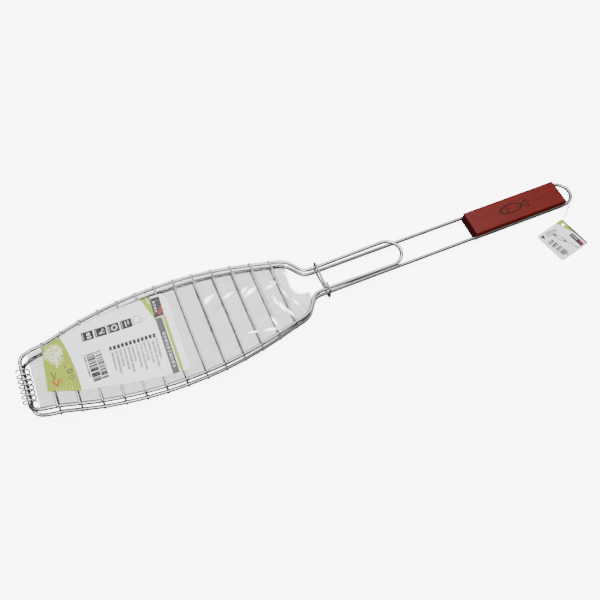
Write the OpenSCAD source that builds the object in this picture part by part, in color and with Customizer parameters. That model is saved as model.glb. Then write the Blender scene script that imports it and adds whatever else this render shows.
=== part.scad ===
// Long-handled fish grill basket: two wire halves joined by a coil hinge,
// a sliding lock ring on the arms and a wooden grip. Millimetres, +Z up.
// X runs from the hinge (low X) to the hanging loop (high X), Y across.
// The origin is under the middle of the basket's length and width, on the
// surface that the basket stands on.

/* [Wire] */
// Diameter of the frame and arm wire
frame_d = 4; // [3.6:0.1:4]
// Diameter of the cross rungs
rung_d = 2.2; // [1.8:0.1:2.4]

/* [Basket] */
// Distance from one rung to the next
rung_pitch = 21; // [19:0.5:23]
// How much nearer to the hinge the first lower rung is than the first upper one
low_rung_shift = 2.2; // [0:0.1:3]
// Distance from one lower rung to the next, so that the last ones line up
low_rung_pitch = 21.2; // [19:0.1:23]
// Gap between the frame planes at the hinge end
gap_tail = 15.5; // [14.5:0.5:18]
// Gap between the frame planes at the neck and along the short loop
gap_neck = 9.2; // [8.8:0.1:10]
// Height of the bottom frame's plane above the surface it stands on
low_z = 4.85; // [4.85:0.05:6]
// Distance from the end bars to the first rung
tail_reach = 26; // [24:1:30]

/* [Arms] */
// Half the distance between the centres of the two long arms
arm_y = 14.8; // [14.5:0.1:15]
// Length of the straight arms from the neck to the end of the grip
arm_run = 311; // [280:1:360]
// Reach of the short loop beyond the neck, to its centre line
short_run = 104.4; // [90:0.2:120]

/* [Grip] */
// Length of the wooden grip
grip_l = 119; // [100:1:130]
// Width of the grip
grip_w = 31.6; // [31:0.2:34]
// Thickness of the grip
grip_t = 13.3; // [11:0.1:16]
// Chamfer along the grip's long edges
grip_c = 1.4; // [0.5:0.1:2]
// Bevel across the grip's ends, on top
grip_e = 2.4; // [1:0.1:3]

/* [Hinge and lock] */
// Distance between the centres of the two end bars
bar_gap = 6.6; // [6.4:0.1:6.8]
// Turns of the hinge coil
coil_turns = 6.5; // [5:0.5:7]
// Wire of the hinge coil
coil_wire = 1.5; // [1.2:0.1:1.5]
// Wire of the lock ring
ring_wire = 2.5; // [2:0.1:2.8]
// Clearance of the lock ring above and below the arms
ring_play = 0.3; // [0.3:0.05:0.5]

/* [Hang tag] */
// Side of the square tag
tag_side = 40; // [30:1:45]
// Thickness of the folded tag
tag_t = 0.6; // [0.4:0.1:1]
// Diameter of the tag's string
string_d = 0.5; // [0.4:0.05:0.6]

/* [Hidden] */
RUNGS = 13;
function two(i) = str(i < 10 ? "0" : "", i);

fr = frame_d / 2;
rr = rung_d / 2;
seat = 0.25;                       // depth of each weld
neck_x = (RUNGS - 1) * rung_pitch + 36;
grip_x1 = neck_x + arm_run;        // end of the grip, where the hanging loop starts
grip_x0 = grip_x1 - grip_l;
short_x = neck_x + short_run;      // tip of the short loop, centre line
short_r = 15.9;                    // half width of the short loop at its round end
short_cx = short_x - short_r;
mid_z = low_z + gap_tail / 2;      // axis of the hinge coil
bar_x = -tail_reach;
coil_r = bar_gap / 2 + fr + coil_wire / 2 + 0.45;
x_lo = bar_x - coil_r - coil_wire / 2;
x_hi = grip_x1 + arm_y + fr;
x_mid = (x_lo + x_hi) / 2;
ring_x = neck_x + 10;
wedge = atan((gap_tail - gap_neck) / (neck_x - bar_x));

// plane of the top frame: a shallow wedge to the neck, then level
function top_z(x) = low_z + gap_neck + (gap_tail - gap_neck) * max(0, neck_x - x) / (neck_x - bar_x);

// half widths of the fish-shaped outline at every second rung
half_w = [36, 47.6, 54.8, 57.5, 56, 49.8, 39.5];
// the bend from the end bar into the side, as [x from the bar, y, share of the crank's height]
tail_bend = [[0, 22.2, 0], [0.2, 24, 0.2], [0.9, 26.4, 0.55], [2.4, 29, 0.87], [5.4, 31.2, 1], [10.5, 33.2, 1], [17.5, 34.7, 1]];
// the bend from the side into the arms, as [x back from the neck, y]
neck_bend = [[-25.5, 36.8], [-18.5, 33], [-13.5, 27.2], [-9, 20.7], [-4.8, 16.7], [0.5, 15], [8, 14.8]];

function unit(v) = v / norm(v);
function mixp(a, b, ta, tb, t) = a * (tb - t) / (tb - ta) + b * (t - ta) / (tb - ta);
// a point between b and c of a smooth curve through a, b, c and d
function knot(a, b, c, d, u) =
    let (t1 = pow(norm(b - a), 0.5), t2 = t1 + pow(norm(c - b), 0.5), t3 = t2 + pow(norm(d - c), 0.5),
         t = t1 + u * (t2 - t1),
         e = mixp(a, b, 0, t1, t), f = mixp(b, c, t1, t2, t), g = mixp(c, d, t2, t3, t),
         h = mixp(e, f, 0, t2, t), k = mixp(f, g, t1, t3, t))
    mixp(h, k, t1, t2, t);
function curve(p, step) = let (n = len(p)) concat(
    [for (i = [0:n - 2])
        let (a = i == 0 ? 2 * p[0] - p[1] : p[i - 1], d = i == n - 2 ? 2 * p[n - 1] - p[n - 2] : p[i + 2],
             m = max(1, round(norm(p[i + 1] - p[i]) / step)))
        for (k = [0:m - 1]) knot(a, p[i], p[i + 1], d, k / m)],
    [p[n - 1]]);
function reverse(p) = [for (i = [len(p) - 1:-1:0]) p[i]];
function mirror_y(p) = [for (v = reverse(p)) [v[0], -v[1], v[2]]];

// directions along a route, and a normal carried along it without twist
function aims(p) = let (n = len(p)) [for (i = [0:n - 1])
    i == 0 ? unit(p[1] - p[0]) : i == n - 1 ? unit(p[i] - p[i - 1]) : unit(unit(p[i + 1] - p[i]) + unit(p[i] - p[i - 1]))];
function carry(t, i, v, out) = i == len(t) ? out :
    let (w = unit(v - (v * t[i]) * t[i])) carry(t, i + 1, w, concat(out, [w]));

module wire(p, d, sides, first) {
    t = aims(p);
    v = carry(t, 0, first, []);
    n = len(p);
    r = d / 2;
    pts = [for (i = [0:n - 1]) let (b = cross(t[i], v[i])) for (j = [0:sides - 1])
        p[i] + r * (cos(360 * j / sides) * v[i] + sin(360 * j / sides) * b)];
    quads = [for (i = [0:n - 2]) for (j = [0:sides - 1]) let (k = (j + 1) % sides)
        [i * sides + j, (i + 1) * sides + j, (i + 1) * sides + k, i * sides + k]];
    polyhedron(pts, concat([[for (j = [0:sides - 1]) j]], quads, [[for (j = [sides - 1:-1:0]) (n - 1) * sides + j]]), convexity = 6);
}

function plane_z(top, x) = top ? top_z(x) : low_z;
function bar_z(top) = mid_z + (top ? 1 : -1) * bar_gap / 2;

// one side of a frame, from the end bar to the neck
function side(top) = curve(concat(
    [[bar_x, 19, bar_z(top)]],
    [for (q = tail_bend) [bar_x + q[0], q[1], bar_z(top) + q[2] * (plane_z(top, bar_x) - bar_z(top))]],
    [for (i = [0:len(half_w) - 1]) let (x = 2 * i * rung_pitch) [x, half_w[i], plane_z(top, x)]],
    [for (q = neck_bend) [neck_x + q[0], q[1] - (q[1] < 17 ? 14.8 - arm_y : 0), plane_z(top, neck_x + q[0])]]), 7);
function round_end(cx, r, z) = [for (a = [90:-12:-90]) [cx + r * cos(a), r * sin(a), z]];

// half width of the outline at any station, between the smooth curve's own points
side_low = side(false);
function width_at(x) = let (s = [for (i = [0:len(side_low) - 2]) if (side_low[i][0] <= x && side_low[i + 1][0] > x) i])
    let (a = side_low[s[0]], b = side_low[s[0] + 1]) a[1] + (b[1] - a[1]) * (x - a[0]) / (b[0] - a[0]);

module frame(top) {
    s = side(top);
    e = top ? round_end(short_cx, short_r, plane_z(top, short_x)) : round_end(grip_x1, arm_y, low_z);
    wire(concat(s, e, mirror_y(s)), frame_d - 0.04, 10, [0, 0, 1]);
    translate([bar_x, 0, bar_z(top)]) rotate([90, 0, 0]) cylinder(h = 43.6, d = frame_d, center = true, $fn = 48);
}
module bottom_frame() color([0.72, 0.73, 0.74]) translate([-x_mid, 0, 0]) frame(false);
module top_frame() color([0.78, 0.79, 0.80]) translate([-x_mid, 0, 0]) frame(true);

// a rung welded across the outside of a frame, dished away from it so that the food has room
module rung(top, i) {
    x = top ? (i - 1) * rung_pitch : (i - 1) * low_rung_pitch - low_rung_shift;
    w = width_at(x);
    s = top ? 1 : -1;
    ze = plane_z(top, x) + s * (fr + rr - seat);
    zf = plane_z(top, x) + s * (low_z - rr);
    d = zf - ze;
    h = [[w + 1.5, 0], [w - 3, 0], [w - 4.7, 0.07], [w - 6.1, 0.27], [w - 8.9, 0.73], [w - 10.3, 0.93], [w - 12, 1]];
    p = [for (q = h) [x, q[0], ze + d * q[1]]];
    wire(concat(p, mirror_y(p)), rung_d, 8, [1, 0, 0]);
}
module rung_at(top, i) color([0.80, 0.81, 0.82]) translate([-x_mid, 0, 0]) rung(top, i);

// the coil that holds the two end bars side by side
module hinge_coil() {
    n = round(coil_turns * 20);
    l = coil_turns * 6;
    color([0.70, 0.71, 0.73]) translate([bar_x - x_mid, 0, mid_z])
        wire([for (k = [0:n]) [coil_r * cos(18 * k), l * (k / n - 0.5), coil_r * sin(18 * k)]], coil_wire, 8, [0, 1, 0]);
}

// the sliding ring: one round of wire whose ends lie side by side on top
module lock_ring() {
    r = 4;
    hw = short_r + fr + 0.7 + ring_wire / 2;
    hh = gap_neck / 2 + fr + ring_play + ring_wire / 2;
    flat = concat([[-9, hh]],
        [for (a = [90:15:180]) [-(hw - r) + r * cos(a), hh - r + r * sin(a)]],
        [for (a = [180:15:270]) [-(hw - r) + r * cos(a), -(hh - r) + r * sin(a)]],
        [for (a = [270:15:360]) [hw - r + r * cos(a), -(hh - r) + r * sin(a)]],
        [for (a = [0:15:90]) [hw - r + r * cos(a), hh - r + r * sin(a)]],
        [[-15, hh]]);
    n = len(flat) - 1;
    color([0.45, 0.45, 0.46]) translate([ring_x - x_mid, 0, low_z + gap_neck / 2])
        wire([for (k = [0:n]) [1.45 - 2.9 * k / n, flat[k][0], flat[k][1]]], ring_wire, 10, [1, 0, 0]);
}

// the grip: chamfered along its edges and ends, with a groove along each side for an arm
module handle_grip() {
    c = grip_c; w = grip_w / 2; t = grip_t; e = 1; b = grip_e;
    color([0.50, 0.13, 0.08]) translate([grip_x0 - x_mid, 0, 0]) difference() {
        intersection() {
            rotate([90, 0, 90]) linear_extrude(grip_l)
                polygon([[-w + c, 0], [w - c, 0], [w, c], [w, t - c], [w - c, t], [-w + c, t], [-w, t - c], [-w, c]]);
            translate([0, 0, -1]) linear_extrude(t + 2)
                polygon([[e, -w - 0.01], [grip_l - e, -w - 0.01], [grip_l, -w + e], [grip_l, w - e], [grip_l - e, w + 0.01], [e, w + 0.01], [0, w - e], [0, -w + e]]);
        }
        for (x = [0, grip_l]) translate([x, 0, t]) rotate([0, 45, 0]) cube([b * sqrt(2), 2 * w + 2, b * sqrt(2)], center = true);
        for (s = [-1, 1]) translate([-1, s * arm_y, low_z]) rotate([0, 90, 0]) cylinder(h = grip_l + 2, r = fr + 0.02, $fn = 48);
    }
}

// packaging sheets on the top half, in the tilted plane of its rungs
card_out = [[0, 29.5], [22, 36], [63, 43.5], [106, 46], [131, 45], [135, 38], [134.5, -4], [132.5, -50.5], [104, -48.5], [72, -43], [43, -36], [25, -31.5], [-5, -20], [-2.5, 7]];
module on_top(lift) {
    translate([0, 0, top_z(0) + lift]) rotate([0, wedge, 0]) children();
}
module insert_card() {
    color([0.90, 0.92, 0.86]) translate([-x_mid, 0, 0]) on_top(low_z + 0.02)
        linear_extrude(0.5) polygon(card_out);
}
function cover_edge(g) = [for (x = [-14:8:266]) [x, width_at(x) + g]];
module cover_plan(g, x1) {
    p = concat([for (v = cover_edge(g)) v], [[x1, 20 + g], [x1, -20 - g]], [for (v = reverse(cover_edge(g))) [v[0], -v[1]]]);
    polygon(p);
}
module film_cover() {
    color([0.85, 0.86, 0.86, 0.4]) translate([-x_mid, 0, 0]) on_top(0) difference() {
        translate([0, 0, -3]) linear_extrude(low_z + 4.2) cover_plan(3, 281);
        translate([0, 0, -4]) linear_extrude(low_z + 4.8) cover_plan(2.6, 300);
        translate([-40, -100, -4]) cube([28, 200, low_z + 4.8]);
    }
}

// hang tag lying beside the loop, its punched corner lifted by the string that passes under it
tag_c = [572, -54];
tag_turn = -77;
tag_hole = [-14, 15.5];
tag_lift = 0.75;                   // height of the punched corner's underside
module hang_tag() {
    s = tag_side / 2;
    color([0.93, 0.93, 0.94]) translate([tag_c[0] - x_mid, tag_c[1], 0]) rotate(tag_turn)
        translate([s, -s, 0]) rotate(a = asin(tag_lift / (s * 2.83)), v = [1, 1, 0]) translate([-s, s, 0]) difference() {
            intersection() {
                linear_extrude(tag_t) square(2 * s, center = true);
                linear_extrude(tag_t) rotate(45) square(2 * s * 1.36, center = true);
            }
            translate([tag_hole[0], tag_hole[1], -1]) cylinder(h = 3, r = 2, $fn = 32);
        }
}
// the string's route: from the knot round the loop wire, down, through the tag and back to the knot
string_route = [[603.4, -18.3, 2.2], [603.3, -16.6, 2.1], [603.2, -14.6, 2.4], [603, -12.6, 3.1], [602.8, -11.9, 4.8], [602.6, -12.6, 6.6],
    [602.4, -14.3, 7.3], [602.1, -16.1, 6.8], [601.7, -17.4, 5.3], [601, -18.9, 3.8], [599.4, -21.4, 2.8], [596, -25, 2.2], [592, -29.4, 1.8],
    [588.6, -32.8, 1.8], [586, -35, 2.1], [584.8, -36.2, 2.3], [584.05, -37.3, 2], [583.9, -37.6, 1.3], [584.05, -37.3, 0.6],
    [584.6, -36.5, 0.28], [586, -34.4, 0.26], [588.4, -31, 0.26], [591.6, -27.4, 0.3], [595.6, -23.8, 0.5], [599.4, -20.8, 1], [602.6, -19.1, 1.8]];
module tag_string() {
    color([0.86, 0.87, 0.88]) translate([-x_mid, 0, 0]) wire(curve(string_route, 1.3), string_d, 8, [1, 0, 0]);
}
module string_knot() {
    color([0.86, 0.87, 0.88]) translate([603.1 - x_mid, -18.8, 2.1]) sphere(r = 0.9, $fn = 24);
}

bottom_frame();
top_frame();
for (i = [1:RUNGS]) {
    rung_at(false, i);
    rung_at(true, i);
}
hinge_coil();
lock_ring();
handle_grip();
insert_card();
film_cover();
hang_tag();
tag_string();
string_knot();
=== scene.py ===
import bpy, bmesh, math, random
import numpy as np
from mathutils import Vector, Matrix, noise


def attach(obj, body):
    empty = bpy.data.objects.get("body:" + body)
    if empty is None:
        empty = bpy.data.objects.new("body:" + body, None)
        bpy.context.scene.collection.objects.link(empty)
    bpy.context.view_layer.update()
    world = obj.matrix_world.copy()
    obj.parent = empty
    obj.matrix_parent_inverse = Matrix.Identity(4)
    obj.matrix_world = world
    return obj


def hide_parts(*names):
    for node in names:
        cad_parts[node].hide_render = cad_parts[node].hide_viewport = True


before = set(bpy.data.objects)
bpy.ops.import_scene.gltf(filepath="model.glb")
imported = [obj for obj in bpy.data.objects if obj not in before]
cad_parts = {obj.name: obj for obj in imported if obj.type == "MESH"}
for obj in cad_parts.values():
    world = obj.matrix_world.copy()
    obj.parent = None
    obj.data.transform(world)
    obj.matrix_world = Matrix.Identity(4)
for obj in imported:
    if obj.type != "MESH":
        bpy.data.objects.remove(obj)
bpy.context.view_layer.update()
random.seed(7)
MM = 0.001
XM = 291.275            # basket x of the row origin, mm

# ------------------------------------------------------------------ camera
R = ((0.9216595, -0.3877303, -0.0144554), (0.3429485, 0.7966541, 0.4977234), (-0.1814665, -0.4636890, 0.8672153))
C = ((124.317 - XM) * MM, -376.682 * MM, 687.958 * MM)
cam_data = bpy.data.cameras.new("camera")
cam_data.lens = 43.77
cam_data.sensor_width = 36
cam_data.clip_start = 0.01
cam_data.clip_end = 20
cam = bpy.data.objects.new("camera", cam_data)
bpy.context.scene.collection.objects.link(cam)
cam.matrix_world = Matrix(((R[0][0], R[1][0], R[2][0], C[0]), (R[0][1], R[1][1], R[2][1], C[1]), (R[0][2], R[1][2], R[2][2], C[2]), (0, 0, 0, 1)))
bpy.context.scene.camera = cam

# ------------------------------------------------------------------ the design's numbers, mm, as in the CAD
FR, RR, SEAT = 2.0, 1.1, 0.25
LOW, GT, GN = 4.85, 15.5, 9.2
NECK, BAR = 288.0, -26.0
ARM, SHORT_R, SHORT_C = 14.8, 15.9, 376.5
GX0, GX1, GW, GTK = 480.0, 599.0, 15.8, 13.3
MID = LOW + GT / 2
WEDGE = math.atan((GT - GN) / (NECK - BAR))
HALF = [36, 47.6, 54.8, 57.5, 56, 49.8, 39.5]
TAIL = [(0, 22.2, 0), (0.2, 24, 0.2), (0.9, 26.4, 0.55), (2.4, 29, 0.87), (5.4, 31.2, 1), (10.5, 33.2, 1), (17.5, 34.7, 1)]
NECKB = [(-25.5, 36.8), (-18.5, 33), (-13.5, 27.2), (-9, 20.7), (-4.8, 16.7), (0.5, 15), (8, 14.8)]


def top_z(x):
    return LOW + GN + (GT - GN) * max(0.0, NECK - x) / (NECK - BAR)


def plane_z(top, x):
    return top_z(x) if top else LOW


def bar_z(top):
    return MID + (3.3 if top else -3.3)


def knot(a, b, c, d, u):
    t1 = np.linalg.norm(b - a) ** .5
    t2 = t1 + np.linalg.norm(c - b) ** .5
    t3 = t2 + np.linalg.norm(d - c) ** .5
    t = t1 + u * (t2 - t1)
    mix = lambda p, q, ta, tb: p * (tb - t) / (tb - ta) + q * (t - ta) / (tb - ta)
    e, f, g = mix(a, b, 0, t1), mix(b, c, t1, t2), mix(c, d, t2, t3)
    return mix(mix(e, f, 0, t2), mix(f, g, t1, t3), t1, t2)


def curve(p, step):
    p = [np.array(q, float) for q in p]
    n, out = len(p), []
    for i in range(n - 1):
        a = 2 * p[0] - p[1] if i == 0 else p[i - 1]
        d = 2 * p[-1] - p[-2] if i == n - 2 else p[i + 2]
        m = max(1, round(float(np.linalg.norm(p[i + 1] - p[i])) / step))
        out += [knot(a, p[i], p[i + 1], d, k / m) for k in range(m)]
    return out + [p[-1]]


def side(top, step=1.6):
    pts = [(BAR, 19, bar_z(top))]
    pts += [(BAR + q[0], q[1], bar_z(top) + q[2] * (plane_z(top, BAR) - bar_z(top))) for q in TAIL]
    pts += [(42.0 * i, h, plane_z(top, 42.0 * i)) for i, h in enumerate(HALF)]
    pts += [(NECK + q[0], q[1], plane_z(top, NECK + q[0])) for q in NECKB]
    return curve(pts, step)


_side = np.array(side(False, 1.0))
_k = _side[:, 0] > -20
_sx, _sy = _side[_k, 0], _side[_k, 1]


def width_at(x):
    return float(np.interp(x, _sx, _sy))


def mir(p):
    return [np.array([v[0], -v[1], v[2]]) for v in reversed(p)]


# ------------------------------------------------------------------ mesh helpers
def new_mesh(name, verts, faces, mat, smooth=True, body=None, nodes=()):
    me = bpy.data.meshes.new(name)
    me.from_pydata([((v[0] - XM) * MM, v[1] * MM, v[2] * MM) for v in verts], [], faces)
    me.validate()
    if smooth:
        for p in me.polygons:
            p.use_smooth = True
    ob = bpy.data.objects.new(name, me)
    bpy.context.scene.collection.objects.link(ob)
    ms = mat if isinstance(mat, (list, tuple)) else [mat]
    for m in ms:
        me.materials.append(m)
    if body:
        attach(ob, body)
    if nodes:
        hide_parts(*nodes)
    return ob


def tube_data(path, radius, sides=16, first=(0, 0, 1), round_ends=0.0):
    """Rings along a path; radius is a number or one per point. Returns verts, faces and, for each vertex, (length along, angle)."""
    p = np.array(path, float)
    n = len(p)
    r = np.full(n, float(radius)) if np.isscalar(radius) else np.array(radius, float)
    seg = np.diff(p, axis=0)
    seg /= np.linalg.norm(seg, axis=1)[:, None]
    t = np.vstack([seg[:1], seg[1:] + seg[:-1], seg[-1:]])
    t /= np.linalg.norm(t, axis=1)[:, None]
    along = np.concatenate([[0], np.cumsum(np.linalg.norm(np.diff(p, axis=0), axis=1))])
    if round_ends > 0:
        e = round_ends
        add0 = [(p[0] + t[0] * e * (1 - math.cos(a)) - 0 * t[0], math.sin(a)) for a in (0.35, 0.75, 1.1)]
        P0 = [q for q, _ in add0]
        k0 = [1 - e / r[0] * (1 - s) for _, s in add0]
        P1 = [p[-1] - t[-1] * e * (1 - math.cos(a)) for a in (0.35, 0.75, 1.1)]
        k1 = [1 - e / r[-1] * (1 - math.sin(a)) for a in (0.35, 0.75, 1.1)]
        keep = [i for i in range(n) if e < along[i] < along[-1] - e]
        r = np.concatenate([[r[0] * k for k in k0], r[keep], [r[-1] * k for k in reversed(k1)]])
        t = np.vstack([[t[0]] * 3, t[keep], [t[-1]] * 3])
        p = np.vstack([P0, p[keep], list(reversed(P1))])
        n = len(p)
        along = np.concatenate([[0], np.cumsum(np.linalg.norm(np.diff(p, axis=0), axis=1))])
    v = np.array(first, float)
    verts, faces, info = [], [], []
    for i in range(n):
        v = v - v.dot(t[i]) * t[i]
        v /= np.linalg.norm(v)
        b = np.cross(t[i], v)
        for j in range(sides):
            a = 2 * math.pi * j / sides
            verts.append(p[i] + r[i] * (math.cos(a) * v + math.sin(a) * b))
            info.append((along[i], a))
    for i in range(n - 1):
        for j in range(sides):
            k = (j + 1) % sides
            faces.append((i * sides + j, i * sides + k, (i + 1) * sides + k, (i + 1) * sides + j))
    faces.append(tuple(reversed(range(sides))))
    faces.append(tuple((n - 1) * sides + j for j in range(sides)))
    return verts, faces, info


def tube(name, path, radius, mat, body, nodes=(), sides=16, first=(0, 0, 1), round_ends=0.0, extra=None, extra_mat=None):
    v, f, info = tube_data(path, radius, sides, first, round_ends)
    uv = [(a * MM, ang / (2 * math.pi)) for a, ang in info]
    own = len(f)
    if extra:
        for ev, ef in extra:
            o = len(v)
            v += list(ev)
            f += [tuple(o + q for q in face) for face in ef]
            uv += [(0.5, 0.5)] * len(ev)
    ob = new_mesh(name, v, f, [mat, extra_mat] if extra_mat else mat, True, body, nodes)
    if extra_mat:
        for q in ob.data.polygons[own:]:
            q.material_index = 1
    lay = ob.data.uv_layers.new(name="wire")
    for lp in ob.data.loops:
        lay.data[lp.index].uv = uv[lp.vertex_index]
    return ob


def blob(c, rx, ry, rz, seed=0, n=10, m=6):
    """A weld nugget: a lumpy flattened ball."""
    v, f = [], []
    for i in range(m + 1):
        th = math.pi * i / m
        for j in range(n):
            ph = 2 * math.pi * j / n
            d = Vector((math.sin(th) * math.cos(ph), math.sin(th) * math.sin(ph), math.cos(th)))
            k = 1 + 0.10 * noise.noise(d * 1.7 + Vector((seed * 3.1, seed, -seed)))
            v.append((c[0] + rx * k * d.x, c[1] + ry * k * d.y, c[2] + rz * k * d.z))
    for i in range(m):
        for j in range(n):
            k = (j + 1) % n
            f.append((i * n + j, (i + 1) * n + j, (i + 1) * n + k, i * n + k))
    return v, f


# ------------------------------------------------------------------ materials
class G:
    """A small node-graph writer."""

    def __init__(self, name):
        self.m = bpy.data.materials.new(name)
        self.m.use_nodes = True
        self.t = self.m.node_tree
        self.t.nodes.clear()
        self.out = self.t.nodes.new("ShaderNodeOutputMaterial")
        self.b = self.t.nodes.new("ShaderNodeBsdfPrincipled")
        self.t.links.new(self.b.outputs[0], self.out.inputs[0])

    def node(self, kind, **kw):
        n = self.t.nodes.new(kind)
        for k, v in kw.items():
            setattr(n, k, v)
        return n

    def put(self, sock, v):
        if v is None:
            return
        if hasattr(v, "node"):
            self.t.links.new(v, sock)
        else:
            sock.default_value = v

    def set(self, name, v):
        self.put(self.b.inputs[name], v)

    def math(self, op, a, b=None, c=None, clamp=False):
        n = self.node("ShaderNodeMath", operation=op)
        n.use_clamp = clamp
        for i, v in enumerate((a, b, c)):
            if v is not None:
                self.put(n.inputs[i], v)
        return n.outputs[0]

    def mix(self, f, a, b):
        n = self.node("ShaderNodeMix", data_type="RGBA")
        self.put(n.inputs[0], f)
        self.put(n.inputs[6], a if hasattr(a, "node") else (*a[:3], 1))
        self.put(n.inputs[7], b if hasattr(b, "node") else (*b[:3], 1))
        return n.outputs[2]

    def mixf(self, f, a, b):
        n = self.node("ShaderNodeMix", data_type="FLOAT")
        self.put(n.inputs[0], f)
        self.put(n.inputs[2], a)
        self.put(n.inputs[3], b)
        return n.outputs[0]

    def coords(self, kind="Object"):
        return self.node("ShaderNodeTexCoord").outputs[kind]

    def mapping(self, v, scale=(1, 1, 1), loc=(0, 0, 0), rot=(0, 0, 0)):
        n = self.node("ShaderNodeMapping")
        self.put(n.inputs[0], v)
        n.inputs[1].default_value = loc
        n.inputs[2].default_value = rot
        n.inputs[3].default_value = scale
        return n.outputs[0]

    def noise(self, v, scale, detail=3, rough=0.5, dist=0.0, dim="3D"):
        n = self.node("ShaderNodeTexNoise", noise_dimensions=dim)
        self.put(n.inputs["Vector"] if dim != "1D" else n.inputs["W"], v)
        n.inputs["Scale"].default_value = scale
        n.inputs["Detail"].default_value = detail
        n.inputs["Roughness"].default_value = rough
        n.inputs["Distortion"].default_value = dist
        return n.outputs[0]

    def ramp(self, f, stops, smooth=False):
        n = self.node("ShaderNodeValToRGB")
        if smooth:
            n.color_ramp.interpolation = "EASE"
        while len(n.color_ramp.elements) < len(stops):
            n.color_ramp.elements.new(0.5)
        for e, (pos, col) in zip(n.color_ramp.elements, stops):
            e.position = pos
            e.color = (*col, 1) if len(col) == 3 else col
        self.put(n.inputs[0], f)
        return n.outputs[0]

    def maprange(self, v, a, b, c=0.0, d=1.0):
        n = self.node("ShaderNodeMapRange")
        self.put(n.inputs[0], v)
        for i, k in enumerate((a, b, c, d)):
            n.inputs[i + 1].default_value = k
        return n.outputs[0]

    def bump(self, h, strength=0.3, dist=0.0002, normal=None):
        n = self.node("ShaderNodeBump")
        n.inputs["Strength"].default_value = strength
        n.inputs["Distance"].default_value = dist
        self.put(n.inputs["Height"], h)
        if normal is not None:
            self.put(n.inputs["Normal"], normal)
        return n.outputs[0]

    def xy(self, v):
        s = self.node("ShaderNodeSeparateXYZ")
        self.put(s.inputs[0], v)
        return s.outputs[0], s.outputs[1], s.outputs[2]


def lin(c):
    return tuple(((v / 255) / 12.92 if v / 255 <= 0.04045 else ((v / 255 + 0.055) / 1.055) ** 2.4) for v in c)


def steel(name, tint, rough, rough_var=0.1, scratch=0.12, spots=0.3, dark=None):
    g = G(name)
    o = g.coords()
    big = g.noise(o, 55, 3, 0.55)
    fine = g.noise(o, 900, 4, 0.6)
    uv = g.coords("UV")
    draw = g.noise(g.mapping(uv, (60, 90, 1)), 1.0, 3, 0.6)
    col = g.mix(g.maprange(big, 0.35, 0.7), tint, tuple(v * (1 - 0.22 * spots) for v in tint))
    col = g.mix(g.math("MULTIPLY", g.maprange(fine, 0.56, 0.75), 0.5 * spots), col, dark or tuple(v * 0.45 for v in tint))
    g.set("Base Color", col)
    g.set("Metallic", 1.0)
    r = g.math("ADD", g.maprange(big, 0.3, 0.75, rough - rough_var / 2, rough + rough_var), g.math("MULTIPLY", g.maprange(draw, 0.3, 0.7), 0.08))
    g.set("Roughness", r)
    g.set("Normal", g.bump(draw, scratch, 0.00006, g.bump(big, 0.12, 0.0004)))
    return g.m


M_FRAME = steel("frame_wire_steel", (0.38, 0.38, 0.375), 0.24)
# painted shade: the lower frame is the same steel as the top frame, given a darker tint for the shade it sits in
M_FRAME_LOW_SHADED = steel("lower_frame_wire_steel_shaded", (0.31, 0.31, 0.305), 0.26)
M_RUNG = steel("rung_wire_steel", (0.68, 0.68, 0.675), 0.27)
M_COIL = steel("coil_steel", (0.50, 0.49, 0.475), 0.27, scratch=0.25)
M_RING = steel("ring_steel", (0.33, 0.325, 0.315), 0.36, spots=0.8, scratch=0.3)
M_WELD = steel("weld_steel", (0.17, 0.165, 0.16), 0.42, spots=1.2, scratch=0.4)


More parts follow.
